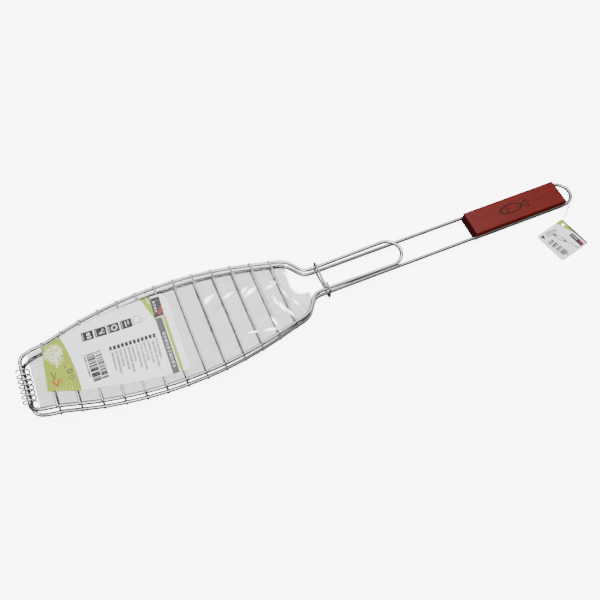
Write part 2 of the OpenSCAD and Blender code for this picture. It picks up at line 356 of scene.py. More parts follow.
def wood():
    g = G("varnished_red_wood")
    o = g.coords()
    x, y, z = g.xy(o)
    warp = g.noise(g.mapping(o, (14, 60, 60)), 1.0, 3, 0.5)
    wv = g.node("ShaderNodeCombineXYZ")
    g.put(wv.inputs[0], g.math("MULTIPLY", x, 5.0))
    g.put(wv.inputs[1], g.math("ADD", g.math("MULTIPLY", y, 260.0), g.math("MULTIPLY", warp, 2.2)))
    g.put(wv.inputs[2], g.math("MULTIPLY", z, 260.0))
    grain = g.noise(wv.outputs[0], 1.0, 4, 0.55)
    pores = g.noise(g.mapping(o, (60, 1500, 1500)), 1.0, 3, 0.6)
    cloud = g.noise(g.mapping(o, (18, 45, 45)), 1.0, 2, 0.5)
    col = g.ramp(grain, [(0.28, (0.058, 0.0018, 0.0008)), (0.45, (0.084, 0.0028, 0.0009)), (0.60, (0.096, 0.0034, 0.0011)), (0.78, (0.068, 0.0022, 0.0008))])
    col = g.mix(g.maprange(cloud, 0.35, 0.75, 0.0, 0.45), col, (0.076, 0.0030, 0.0006))
    col = g.mix(g.math("MULTIPLY", g.maprange(pores, 0.57, 0.72), 0.55), col, (0.024, 0.0018, 0.0012))
    nrm = g.node("ShaderNodeNewGeometry")
    nx, ny, nz = g.xy(nrm.outputs["Normal"])
    tc = g.node("ShaderNodeTexCoord")
    ox, oy, oz = g.xy(tc.outputs["Normal"])
    end = g.maprange(g.math("ABSOLUTE", ox), 0.3, 0.75)
    col = g.mix(g.math("MULTIPLY", end, 0.9), col, (0.030, 0.0020, 0.0026))
    rings = g.noise(g.mapping(o, (300, 420, 700)), 1.0, 3, 0.6)
    col = g.mix(g.math("MULTIPLY", g.math("MULTIPLY", end, g.maprange(rings, 0.45, 0.65)), 0.4), col, (0.006, 0.0008, 0.001))
    # painted shade: the grip's long sides (normals along y) are darkened towards a deeper red, and their specular is
    # lowered
    side_face_shade = g.maprange(g.math("ABSOLUTE", oy), 0.5, 0.95)
    col = g.mix(g.math("MULTIPLY", side_face_shade, 0.5), col, (0.022, 0.0018, 0.0014))
    # burnt-in mark: a plain fish outline with tail, eye and gill line
    u = g.math("MULTIPLY", g.math("SUBTRACT", x, (GX0 + 57 - XM) * MM), 1000.0)
    v = g.math("MULTIPLY", y, 1000.0)
    def ell(cx, cy, rx, ry):
        a = g.math("POWER", g.math("DIVIDE", g.math("SUBTRACT", u, cx), rx), 2.0)
        b = g.math("POWER", g.math("DIVIDE", g.math("SUBTRACT", v, cy), ry), 2.0)
        return g.math("SQRT", g.math("ADD", a, b))
    wob = g.math("MULTIPLY", g.math("SUBTRACT", g.noise(g.mapping(o, (900, 900, 900)), 1.0, 2), 0.5), 0.10)
    e = ell(-3.0, 0, 13.5, 5.6)
    body = g.math("SUBTRACT", 1.0, g.maprange(g.math("ABSOLUTE", g.math("SUBTRACT", g.math("ADD", e, wob), 1.0)), 0.07, 0.13))
    du = g.math("SUBTRACT", u, 10.0)
    tl = g.math("ABSOLUTE", g.math("SUBTRACT", g.math("ABSOLUTE", v), g.math("MULTIPLY", du, 0.62)))
    tail = g.math("MULTIPLY", g.math("SUBTRACT", 1.0, g.maprange(tl, 0.45, 0.85)), g.math("MULTIPLY", g.math("GREATER_THAN", du, 0.0), g.math("LESS_THAN", du, 8.5)))
    tv = g.math("MULTIPLY", g.math("SUBTRACT", 1.0, g.maprange(g.math("ABSOLUTE", g.math("SUBTRACT", du, 8.3)), 0.45, 0.85)), g.math("LESS_THAN", g.math("ABSOLUTE", v), 5.3))
    eye = g.math("SUBTRACT", 1.0, g.maprange(ell(-11.5, 1.3, 1.0, 1.0), 0.8, 1.15))
    gill = g.math("MULTIPLY", g.math("SUBTRACT", 1.0, g.maprange(g.math("ABSOLUTE", g.math("SUBTRACT", ell(-14.5, 0, 7.2, 6.5), 1.0)), 0.06, 0.12)), g.math("MULTIPLY", g.math("GREATER_THAN", u, -9.5), g.math("LESS_THAN", e, 0.86)))
    mark = g.math("MAXIMUM", g.math("MAXIMUM", body, tail), g.math("MAXIMUM", g.math("MAXIMUM", eye, gill), tv))
    onto = g.math("MULTIPLY", mark, g.math("GREATER_THAN", z, 0.0125))
    col = g.mix(g.math("MULTIPLY", onto, 0.9), col, (0.009, 0.002, 0.002))
    g.set("Base Color", col)
    g.set("Roughness", g.math("ADD", g.maprange(grain, 0.3, 0.7, 0.36, 0.46), g.math("MULTIPLY", g.math("MAXIMUM", onto, end), 0.25)))
    g.set("Specular IOR Level", g.mixf(g.math("MAXIMUM", end, side_face_shade), 0.14, 0.04))
    g.set("Coat Weight", 0.02)
    g.set("Coat Roughness", 0.3)
    h = g.math("SUBTRACT", g.math("SUBTRACT", grain, g.math("MULTIPLY", g.maprange(pores, 0.57, 0.72), 0.8)), g.math("MULTIPLY", onto, 2.0))
    g.set("Normal", g.bump(h, 0.22, 0.00022))
    return g.m


M_WOOD = wood()


# ------------------------------------------------------------------ printed sheets: shapes in the sheet's own millimetres, from its UVs
class Print:
    def __init__(self, g, base):
        self.g = g
        uv = g.coords("UV")
        x, y, _ = g.xy(uv)
        self.u = g.math("MULTIPLY", x, 1000.0)
        self.v = g.math("MULTIPLY", y, 1000.0)
        self.col = base

    def soft(self, d, w=0.12):
        """1 where d is below 0"""
        return self.g.maprange(d, w, -w)

    def local(self, cx, cy, deg):
        g, a = self.g, math.radians(deg)
        du, dv = g.math("SUBTRACT", self.u, cx), g.math("SUBTRACT", self.v, cy)
        p = g.math("ADD", g.math("MULTIPLY", du, math.cos(a)), g.math("MULTIPLY", dv, math.sin(a)))
        q = g.math("SUBTRACT", g.math("MULTIPLY", dv, math.cos(a)), g.math("MULTIPLY", du, math.sin(a)))
        return p, q

    def rect(self, cx, cy, w, h, deg=0, r=0.12):
        g = self.g
        p, q = self.local(cx, cy, deg)
        return self.soft(g.math("MAXIMUM", g.math("SUBTRACT", g.math("ABSOLUTE", p), w / 2), g.math("SUBTRACT", g.math("ABSOLUTE", q), h / 2)), r)

    def frame(self, cx, cy, w, h, t, deg=0):
        return self.sub(self.rect(cx, cy, w, h, deg), self.rect(cx, cy, w - 2 * t, h - 2 * t, deg))

    def disc(self, cx, cy, rad, w=0.15):
        g = self.g
        du, dv = g.math("SUBTRACT", self.u, cx), g.math("SUBTRACT", self.v, cy)
        d = g.math("SQRT", g.math("ADD", g.math("MULTIPLY", du, du), g.math("MULTIPLY", dv, dv)))
        return self.soft(g.math("SUBTRACT", d, rad), w)

    def half(self, px, py, deg):
        """1 on the left of a line through (px, py) heading deg"""
        p, q = self.local(px, py, deg)
        return self.soft(self.g.math("MULTIPLY", q, -1.0))

    def stripes(self, cx, cy, deg, pitch, duty, seed=0.0):
        p, q = self.local(cx, cy, deg)
        n = self.g.noise(self.g.math("ADD", self.g.math("MULTIPLY", p, 1.0 / pitch), seed), 1.0, 2, 0.7, dim="1D")
        return self.g.maprange(n, 1 - duty - 0.01, 1 - duty + 0.01)

    def repeat(self, cx, cy, deg, pitch, duty):
        p, q = self.local(cx, cy, deg)
        f = self.g.math("FRACT", self.g.math("DIVIDE", p, pitch))
        return self.g.maprange(f, duty - 0.03, duty + 0.03, 1.0, 0.0)

    def mul(self, *m):
        out = m[0]
        for k in m[1:]:
            out = self.g.math("MULTIPLY", out, k)
        return out

    def sub(self, a, b):
        return self.g.math("MULTIPLY", a, self.g.math("SUBTRACT", 1.0, b))

    def any(self, *m):
        out = m[0]
        for k in m[1:]:
            out = self.g.math("MAXIMUM", out, k)
        return out

    def paint(self, mask, colour, k=1.0):
        self.col = self.g.mix(mask if k == 1.0 else self.g.math("MULTIPLY", mask, k), self.col, colour)


GREEN, GREEN2 = (0.27, 0.34, 0.0), (0.21, 0.28, 0.0)
INK, GREY = (0.006, 0.006, 0.007), (0.030, 0.030, 0.031)
PALE, RED, OLIVE = (0.80, 0.82, 0.66), (0.34, 0.012, 0.010), (0.02, 0.028, 0.008)


def paper_finish(g, p, rough=0.34):
    o = g.coords()
    fib = g.noise(o, 1400, 3, 0.6)
    mott = g.noise(o, 60, 2, 0.5)
    col = g.mix(g.maprange(mott, 0.3, 0.75, 0.0, 0.05), p.col, (0.5, 0.5, 0.52))
    g.set("Base Color", col)
    g.set("Roughness", g.maprange(mott, 0.3, 0.7, rough - 0.05, rough + 0.07))
    g.set("Specular IOR Level", 0.3)
    g.set("Coat Weight", 0.05)
    g.set("Coat Roughness", 0.25)
    g.set("Normal", g.bump(fib, 0.05, 0.00005))
    return g.m


def card_material():
    g = G("card_print")
    p = Print(g, (0.86, 0.87, 0.88))
    # green panel with a curved border, and a pale burst on it
    panel = p.disc(-207.4, -22, 234.0)
    leafn = g.noise(g.mapping(g.coords("UV"), (240, 240, 1)), 1.0, 3, 0.6)
    p.paint(panel, g.mix(g.maprange(leafn, 0.3, 0.7), GREEN, GREEN2))
    rays = g.noise(g.mapping(g.coords("UV"), (520, 520, 1)), 1.0, 4, 0.75, 0.6)
    p.paint(p.mul(panel, p.disc(9.5, 19, 9.5, 1.2), g.maprange(rays, 0.47, 0.53)), PALE, 0.95)
    p.paint(p.mul(panel, p.disc(11, 11, 6.5, 1.2), g.maprange(rays, 0.50, 0.56)), PALE, 0.95)
    p.paint(p.any(p.rect(10.5, 10, 1.3, 17, -8), p.rect(7, 17, 0.9, 10, 42), p.rect(14, 17, 0.9, 10, -40)), PALE, 0.9)
    p.paint(p.any(p.rect(3.4, -5.5, 1.0, 11, 12), p.rect(5.6, -6.5, 0.8, 7, -25)), OLIVE)
    p.paint(p.any(p.rect(3.2, -14, 1.5, 8, 28), p.rect(6.6, -15.5, 1.4, 7, -22), p.rect(9.2, -12.5, 1.1, 6, 35)), RED)
    p.paint(p.sub(p.disc(20.5, -6.7, 2.7), p.disc(20.5, -6.7, 1.5)), OLIVE)
    p.paint(p.frame(20.6, -14.0, 4.4, 4.4, 0.7, 30), OLIVE)
    p.paint(p.rect(17.2, -0.5, 1.0, 3.4, -10), OLIVE)
    for i in range(6):
        p.paint(p.rect(3.5 + 3.0 * i, -22.5 - 0.7 * i, 0.8, 5.5, -12), (0.55, 0.62, 0.20), 0.6)
    # row of dark pictogram squares, then an outlined one
    for i in range(4):
        cx, cy = 46.4 + 13.5 * i, 25.2 - 0.55 * i
        p.paint(p.rect(cx, cy, 12.2, 10.6, -2.6), INK)
        q = [p.any(p.disc(cx + 1.2, cy + 1.5, 2.0), p.rect(cx + 1.2, cy - 2.4, 4.4, 2.2, 0)),
             p.any(p.rect(cx + 1, cy, 7, 1.1, 40), p.rect(cx + 1, cy - 2, 6, 0.9, 0)),
             p.sub(p.disc(cx + 1, cy, 3.4), p.disc(cx + 1, cy, 1.9)),
             p.any(p.rect(cx - 0.6, cy, 1.1, 6.4, 0), p.rect(cx + 2.4, cy + 1, 1.1, 4.4, 0))][i]
        p.paint(q, (0.5, 0.5, 0.5))
        p.paint(p.rect(cx - 4.6, cy, 0.9, 7.5, -2.6), (0.42, 0.42, 0.42), 0.9)
    p.paint(p.any(p.sub(p.disc(98.5, 24.5, 4.6), p.disc(98.5, 24.5, 3.9)), p.rect(104.2, 22.6, 3.8, 0.7, -30), p.rect(93.8, 20.2, 5.2, 0.7, -45),
                  p.rect(102.0, 19.2, 6.5, 0.7, 12)), GREY)
    # bars block
    for (cx, w, seed) in ((43.6, 8.4, 0.3), (51.6, 6.6, 5.3)):
        area = p.rect(cx, -11.5, w, 32.5, 0.5)
        p.paint(p.mul(area, p.stripes(cx, -16, 91, 1.5, 0.56, seed)), INK if seed < 1 else GREY, 1.0)
    p.paint(p.mul(p.rect(37.6, -8, 1.6, 26, 0.5), p.stripes(38, -17, 91, 1.5, 0.6, 9.1)), GREY, 0.95)
    # row of small squares and broken rules below them
    row = p.rect(87.4, 0.6, 49.5, 5.0, -3.4)
    p.paint(p.mul(row, p.repeat(62.7, 2, -3.4, 4.13, 0.76)), INK)
    for i in range(12):
        x0 = 64.4 + 4.13 * i
        ln = (22, 27, 20, 25, 30, 19, 27, 31, 22, 26, 32, 24)[i]
        y1 = -1.9 - 0.25 * i
        brk = p.stripes(x0, y1, 91, 1.7, 0.60, 2.7 * i)
        p.paint(p.mul(p.rect(x0 - 0.25, y1 - ln / 2, 2.5, ln, -3.4), brk), GREY, 0.72)
    # right-hand end: a curved green sliver, a dark box with a red stroke, a grey band and a green stripe
    sliver = p.mul(p.half(107.6, 49.0, -75.8), p.rect(109, 29, 19.2, 43, 0))
    p.paint(p.sub(sliver, p.rect(114.9, 43.5, 0.8, 13, 10)), GREEN)
    p.paint(p.rect(118.9, -16, 7.0, 67, -1.6), (0.042, 0.042, 0.043))
    for i in range(10):
        p.paint(p.rect(119.6 - 0.14 * i, -2.5 - 4.3 * i, 2.6, (3.0, 1.7, 3.4, 2.2)[i % 4], -1.6), (0.45, 0.45, 0.45), 0.85)
    p.paint(p.rect(125.0, -16, 3.3, 67, -1.3), GREEN)
    p.paint(p.rect(122.1, 30.6, 10.2, 24.2, -3.5), INK)
    p.paint(p.any(p.rect(124.8, 27, 1.2, 13, -30), p.rect(126.8, 24.6, 1.1, 8, -62), p.rect(122.5, 22.5, 1.1, 6, 10)), RED)
    for i in range(4):
        p.paint(p.rect(120.6 - 0.25 * i, 37.5 - 3.8 * i, 2.4, (2.4, 1.6, 2.8, 2.0)[i], -3.5), (0.42, 0.42, 0.42), 0.9)
    return paper_finish(g, p)


def tag_material():
    g = G("tag_print")
    p = Print(g, (0.70, 0.70, 0.745))
    p.paint(p.half(-20, 10.2, 18), GREEN2)
    p.paint(p.rect(9.6, 12.7, 18.6, 5.6, 0), INK)
    p.paint(p.any(p.rect(13.2, 15.0, 0.9, 4.4, 35), p.rect(15.4, 14.6, 1.0, 4.4, -20), p.rect(17.2, 13.6, 0.9, 3.4, 30)), RED)
    for i in range(4):
        p.paint(p.rect(3.0 + 2.2 * i, 13.0, 1.3, (1.8, 1.2, 2.0, 1.5)[i], 0), (0.35, 0.35, 0.37), 0.9)
    # small outline of a basket
    e = p.local(-3.2, -0.9, 17)
    d = g.math("SQRT", g.math("ADD", g.math("POWER", g.math("DIVIDE", e[0], 6.8), 2.0), g.math("POWER", g.math("DIVIDE", e[1], 2.1), 2.0)))
    p.paint(g.math("SUBTRACT", 1.0, g.maprange(g.math("ABSOLUTE", g.math("SUBTRACT", d, 1.0)), 0.15, 0.34)), (0.03, 0.03, 0.035))
    p.paint(p.mul(g.math("LESS_THAN", d, 1.0), p.repeat(-8, -2, 14, 1.5, 0.22)), (0.3, 0.3, 0.32), 0.8)
    p.paint(p.any(p.rect(9.3, 3.4, 12.5, 0.4, 19), p.rect(9.6, 2.7, 12.5, 0.4, 19)), (0.02, 0.02, 0.024))
    p.paint(p.rect(16.6, 5.7, 4.6, 1.5, 19), INK)
    # bars and rules
    for (cx, w, seed) in ((-5.2, 4.6, 1.3), (0.8, 4.6, 2.9), (6.4, 4.6, 4.1), (12.6, 6.0, 6.6)):
        p.paint(p.mul(p.rect(cx, -12.3 + 0.10 * cx, w, 8.4, 4), p.stripes(0, 0, 4, 0.78, 0.55, seed)), (0.010, 0.010, 0.012))
    p.paint(p.rect(17.0, -9.9, 3.2, 3.4, 4), INK, 0.7)
    for (cx, cy, ln) in ((-16.0, -3.2, 14.0), (-13.7, -2.6, 16.5), (-11.6, -5.6, 12.0)):
        p.paint(p.rect(cx, cy, 1.1, ln, -10), (0.012, 0.012, 0.014))
    p.paint(p.rect(-13.2, -15.4, 2.2, 2.4, 3), INK)
    p.paint(p.rect(6.5, 18.9, 31, 2.6, 0), (0.015, 0.016, 0.014))
    p.paint(p.mul(p.rect(-15.6, -15.4, 3.0, 4.4, 3), p.stripes(0, 0, 93, 2.0, 0.7, 7.7)), INK)
    return paper_finish(g, p, 0.38)


def plain_paper(name, c):
    g = G(name)
    o = g.coords()
    fib = g.noise(o, 700, 4, 0.6)
    g.set("Base Color", g.mix(g.maprange(fib, 0.35, 0.65), lin(c), lin(tuple(v * 0.95 for v in c))))
    g.set("Roughness", g.maprange(fib, 0.3, 0.7, 0.55, 0.7))
    g.set("Normal", g.bump(fib, 0.08, 0.00005))
    return g.m


M_CARD = card_material()
M_CARD_BACK = plain_paper("card_back_board", (150, 145, 132))
M_TAG = tag_material()
M_TAG_EDGE = plain_paper("tag_inner_paper", (44, 47, 38))


def film_material(name, lo, hi, shine, glint_amount):
    g = G(name)
    p = Print(g, (0.2, 0.2, 0.2))
    o = g.coords()
    haze = g.noise(g.mapping(o, (26, 60, 26)), 1.0, 4, 0.62, 0.8)
    crease = g.noise(g.mapping(o, (34, 130, 60), rot=(0, 0, 0.5)), 1.0, 5, 0.7, 1.6)
    ridge = g.math("SUBTRACT", 1.0, g.math("MULTIPLY", g.math("ABSOLUTE", g.math("SUBTRACT", crease, 0.5)), 9.0), clamp=True)
    # the crease ridges, which also glow faintly as painted glints
    ridge_glint = g.math("POWER", ridge, 5.0)
    fine = g.noise(g.mapping(g.coords("UV"), (160, 420, 1), rot=(0, 0, 0.35)), 1.0, 4, 0.7, 1.2)
    glint_patches = None
    # painted glints: patches along hard creases that glow white (emission) to stand for the film's glare: middle, half
    # length, half width, heading
    for (cx, cy, l, w, a) in ((176, 20, 8, 2.6, 18), (174, 17, 7, 1.6, 28), (196, 15.5, 8, 2.4, 20), (219, 10.5, 10, 3.2, 24), (214, 15, 6, 2.2, 35),
                              (241, 8.5, 7, 2.0, 10), (246, 12, 5, 1.6, -30), (244, -20, 2.6, 9, 14), (249, -29, 2.2, 7, 22), (223, -40, 9, 2.2, -12),
                              (230, -33, 2.0, 8, 8), (240, -10, 1.6, 9, 6), (252, -4, 1.4, 8, 12), (205, -36, 7, 1.5, -14), (259, -20, 1.5, 7, 24), (262, 14, 1.2, 9, 8)):
        u, v = p.local(cx, cy, a)
        d = g.math("SQRT", g.math("ADD", g.math("POWER", g.math("DIVIDE", u, l), 2.0), g.math("POWER", g.math("DIVIDE", v, w), 2.0)))
        m = g.maprange(d, 1.0, 0.2)
        glint_patches = m if glint_patches is None else g.math("MAXIMUM", glint_patches, m)
    glint_glow = g.math("MULTIPLY", g.math("MULTIPLY", glint_patches, g.maprange(fine, 0.37, 0.49)), glint_amount)
    nrm = g.bump(crease, 0.5, 0.0008, g.bump(haze, 0.6, 0.0015))
    loose = g.math("SUBTRACT", 1.0, g.node("ShaderNodeAttribute", attribute_name="tight").outputs["Fac"], clamp=True)
    tint = g.mix(loose, g.mix(g.maprange(haze, 0.3, 0.7), (0.96, 0.96, 0.96), (0.99, 0.99, 0.99)), g.mix(g.maprange(haze, 0.3, 0.72), lo, hi))
    clear = g.node("ShaderNodeBsdfTransparent")
    g.put(clear.inputs[0], tint)
    gloss = g.node("ShaderNodeBsdfGlossy")
    gloss.inputs["Color"].default_value = (1, 1, 1, 1)
    gloss.inputs["Roughness"].default_value = 0.09
    g.put(gloss.inputs["Normal"], nrm)
    lw = g.node("ShaderNodeLayerWeight")
    lw.inputs[0].default_value = 0.35
    g.put(lw.inputs["Normal"], nrm)
    m1 = g.node("ShaderNodeMixShader")
    g.put(m1.inputs[0], g.math("MULTIPLY", lw.outputs["Fresnel"], g.mixf(loose, 0.10 * shine, 0.8 * shine), clamp=True))
    g.t.links.new(clear.outputs[0], m1.inputs[1])
    g.t.links.new(gloss.outputs[0], m1.inputs[2])
    # painted glints: a white shader that glows (emission 5.5), mixed in over the glint patches and faintly along the
    # ridges
    g.set("Base Color", (0.95, 0.955, 0.96, 1))
    g.set("Roughness", 0.25)
    g.set("Emission Color", (1, 1, 1, 1))
    g.set("Emission Strength", 5.5)
    g.set("Normal", nrm)
    m2 = g.node("ShaderNodeMixShader")
    g.put(m2.inputs[0], g.math("ADD", g.math("MULTIPLY", glint_glow, 0.8), g.math("MULTIPLY", g.math("MULTIPLY", ridge_glint, loose), 0.035 * glint_amount), clamp=True))
    g.t.links.new(m1.outputs[0], m2.inputs[1])
    g.t.links.new(g.b.outputs[0], m2.inputs[2])
    g.t.links.new(m2.outputs[0], g.out.inputs[0])
    return g.m


M_FILM = film_material("clear_film", (0.87, 0.87, 0.866), (0.92, 0.92, 0.915), 0.65, 1.0)
# the film's lower sheet: real film, but tinted dark grey (0.235-0.265 let through) as painted shade for the shade seen
# through the basket
M_FILM_LOW_SHADE = film_material("film_underside_shade_tint", (0.235, 0.235, 0.231), (0.265, 0.265, 0.261), 0.15, 0.0)


def line_material():
    g = G("nylon_line")
    o = g.coords()
    n = g.noise(o, 800, 3, 0.5)
    g.set("Base Color", g.mix(g.maprange(n, 0.3, 0.7), (0.26, 0.27, 0.29), (0.36, 0.37, 0.39)))
    g.set("Roughness", g.maprange(n, 0.3, 0.7, 0.14, 0.24))
    g.set("Transmission Weight", 0.35)
    g.set("Normal", g.bump(n, 0.05, 0.00005))
    return g.m


M_LINE = line_material()

# ------------------------------------------------------------------ the tag's string, then its tag
ROUTE = [(603.4, -18.3, 2.2), (603.3, -16.6, 2.1), (603.2, -14.6, 2.4), (603, -12.6, 3.1), (602.8, -11.9, 4.8), (602.6, -12.6, 6.6),
         (602.4, -14.3, 7.3), (602.1, -16.1, 6.8), (601.7, -17.4, 5.3), (601, -18.9, 3.8), (599.4, -21.4, 2.8), (596, -25, 2.2), (592, -29.4, 1.8),
         (588.6, -32.8, 1.8), (586, -35, 2.1), (584.8, -36.2, 2.3), (584.05, -37.3, 2), (583.9, -37.6, 1.3), (584.05, -37.3, 0.6),
         (584.6, -36.5, 0.28), (586, -34.4, 0.26), (588.4, -31, 0.26), (591.6, -27.4, 0.3), (595.6, -23.8, 0.5), (599.4, -20.8, 1), (602.6, -19.1, 1.8)]
spath = curve(ROUTE, 0.45)
string = tube("tag_line", spath, 0.25, M_LINE, "bottom_half", ["tag_string"], sides=12, first=(1, 0, 0))
kv, kf = blob((603.1, -18.8, 2.1), 0.85, 0.8, 0.75, 3, 14, 10)
kv2, kf2 = blob((603.5, -18.5, 2.5), 0.55, 0.6, 0.5, 5, 12, 8)
o = len(kv)
knot_ob = new_mesh("line_knot", kv + kv2, kf + [tuple(o + q for q in f) for f in kf2], M_LINE, True, "bottom_half", ["string_knot"])

TAGC, TURN, TS, TT, LIFT = (572.0, -54.0), math.radians(-77), 20.0, 0.6, 0.75
TILT = math.asin(LIFT / (TS * 2.83))


def tag_point(u, v, w):
    """A point of the tag's own plane, in mm, as it lies: lifted at its punched corner."""
    b = Vector((TS, -TS, 0))
    q = Matrix.Rotation(TILT, 3, Vector((1, 1, 0)).normalized()) @ (Vector((u, v, w)) - b) + b
    c, s = math.cos(TURN), math.sin(TURN)
    return (TAGC[0] + q.x * c - q.y * s, TAGC[1] + q.x * s + q.y * c, q.z)


def tag_leaf(z0, z1, grow, hole=(-14.0, 15.5), hr=2.0, rc=2.2):
    """A rounded square sheet with a punched hole: rings of points from the hole out to the edge."""
    n, k = 96, 14
    out = []
    for i in range(n):
        a = 2 * math.pi * i / n
        d = np.array([math.cos(a), math.sin(a)])
        lo, hi = 0.0, 80.0
        for _ in range(40):
            m = (lo + hi) / 2
            q = np.array(hole) + d * m
            s = TS - rc + grow
            e = np.maximum(np.abs(q) - s, 0)
            inside = np.linalg.norm(e) <= rc
            lo, hi = (m, hi) if inside else (lo, m)
        out.append(lo)
    verts, faces, uvs = [], [], []
    for zz in (z1, z0):
        for j in range(k + 1):
            f = (j / k) ** 1.3
            for i in range(n):
                a = 2 * math.pi * i / n
                rad = hr + (out[i] - hr) * f
                u, v = hole[0] + math.cos(a) * rad, hole[1] + math.sin(a) * rad
                curl = 0.0
                verts.append(tag_point(u, v, zz + curl))
                uvs.append((u * MM, v * MM))
    L = (k + 1) * n
    for j in range(k):
        for i in range(n):
            m = (i + 1) % n
            faces.append((j * n + i, (j + 1) * n + i, (j + 1) * n + m, j * n + m))
            faces.append((L + j * n + i, L + j * n + m, L + (j + 1) * n + m, L + (j + 1) * n + i))
    for i in range(n):
        m = (i + 1) % n
        faces.append((k * n + i, L + k * n + i, L + k * n + m, k * n + m))
        faces.append((i, m, L + m, L + i))
    return verts, faces, uvs, 2 * k * n


def tag_piece(name, z0, z1, grow, top_mat, nodes=()):
    v, f, uvs, cut = tag_leaf(z0, z1, grow)
    ob = new_mesh(name, v, f, [top_mat, M_TAG_EDGE], False, "bottom_half", nodes)
    lay = ob.data.uv_layers.new(name="mm")
    for lp in ob.data.loops:
        lay.data[lp.index].uv = uvs[lp.vertex_index]
    for i, p in enumerate(ob.data.polygons):
        p.material_index = 0 if i < cut and i % 2 == 0 else 1
    return ob


tag_top = tag_piece("hang_tag_front", 0.34, 0.6, 0.0, M_TAG, ["hang_tag"])
tag_low = tag_piece("hang_tag_back", 0.0, 0.24, 0.35, M_TAG_EDGE)

# ------------------------------------------------------------------ wires


def frame_path(top):
    s = side(top, 1.6)
    bar = [np.array([BAR, y, bar_z(top)]) for y in np.arange(0.01, 18.5, 1.5)]
    if top:
        e = [np.array([SHORT_C + SHORT_R * math.cos(a), SHORT_R * math.sin(a), plane_z(True, SHORT_C)]) for a in np.radians(np.arange(90, -91, -4))]
    else:
        e = [np.array([GX1 + ARM * math.cos(a), ARM * math.sin(a), LOW]) for a in np.radians(np.arange(90, -91, -4))]
    a, b = s[-1], e[0]
    n = int(np.linalg.norm(b - a) / 3)
    mid = [a + (b - a) * (i / n) for i in range(1, n)]
    half_a = bar + s + mid
    return half_a + e + mir(mid) + mir(s) + [np.array([v[0], -v[1], v[2]]) for v in reversed(bar)]


for top in (False, True):
    path = frame_path(top)
    tag = "top" if top else "bottom"
    bead = [blob((BAR, 0.0, bar_z(top)), 2.25, 1.1, 2.25, 11 + top, 16, 8)]
    tube(tag + "_frame_wire", path, FR, M_FRAME if tag == "top" else M_FRAME_LOW_SHADED, tag + "_half", [tag + "_frame"], sides=24, extra=bead)
    s = 1 if top else -1
    for i in range(13):
        x = 21.0 * i if top else 21.2 * i - 2.2
        w = width_at(x)
        ze = plane_z(top, x) + s * (FR + RR - SEAT)
        zf = plane_z(top, x) + s * (LOW - RR)
        prof = [(w + 1.5, 0), (w - 3, 0), (w - 4.7, .07), (w - 6.1, .27), (w - 8.9, .73), (w - 10.3, .93), (w - 12, 1)]
        bow = 0.35 * math.sin(i * 2.3 + (1.1 if top else 0))
        half = [(x, q[0], ze + (zf - ze) * q[1]) for q in prof]
        mid = [(x + bow * (1 - (y / (w - 12)) ** 2), y, zf) for y in np.linspace(w - 16, -(w - 16), 9)]
        pts = curve(half + mid + [(q[0], -q[1], q[2]) for q in reversed(half)], 2.2)
        nug = []
        for sy in (1, -1):
            nug.append(blob((x + 0.1 * sy, sy * (w + 0.1), plane_z(top, x) + s * (FR - 0.05)), 1.75, 1.5, 0.62, i + 20 * top + 5 * sy))
        tube("%s_rung_%02d_wire" % (tag, i + 1), pts, RR, M_RUNG, tag + "_half", ["%s_rung_%02d" % (tag, i + 1)], sides=16, first=(1, 0, 0), round_ends=0.35, extra=nug, extra_mat=M_WELD)

n = 6.5 * 32
hel = [(BAR + 6.5 * math.cos(2 * math.pi * k / 32), 39 * (k / n - .5), MID + 6.5 * math.sin(2 * math.pi * k / 32)) for k in range(int(n) + 1)]
tube("hinge_coil_wire", hel, 0.75, M_COIL, "hinge_coil", ["hinge_coil"], sides=14, first=(0, 1, 0), round_ends=0.2)

# lock ring
hw, hh, rc = SHORT_R + FR + 0.7 + 1.25, GN / 2 + FR + 0.3 + 1.25, 4.0
arcp = lambda cy, cz, a0, a1: [(cy + rc * math.cos(a), cz + rc * math.sin(a)) for a in np.radians(np.arange(a0, a1 + 0.1, 7.5))]
flat = [(-9.0, hh)] + [(-9 - (hw - rc - 9) * k / 4, hh) for k in range(1, 4)] + arcp(-(hw - rc), hh - rc, 90, 180) + arcp(-(hw - rc), -(hh - rc), 180, 270)
flat += [(-(hw - rc) + 2 * (hw - rc) * k / 8, -hh) for k in range(1, 8)] + arcp(hw - rc, -(hh - rc), 270, 360) + arcp(hw - rc, hh - rc, 0, 90) + [((hw - rc) - (hw - rc + 15) * k / 10, hh) for k in range(1, 11)]
dl = np.concatenate([[0], np.cumsum([math.dist(flat[i], flat[i + 1]) for i in range(len(flat) - 1)])])
rp = [(NECK + 10 + 1.45 - 2.9 * dl[i] / dl[-1], q[0], LOW + GN / 2 + q[1]) for i, q in enumerate(flat)]
tube("lock_ring_wire", rp, 1.25, M_RING, "lock_ring", ["lock_ring"], sides=18, first=(1, 0, 0), round_ends=0.3)


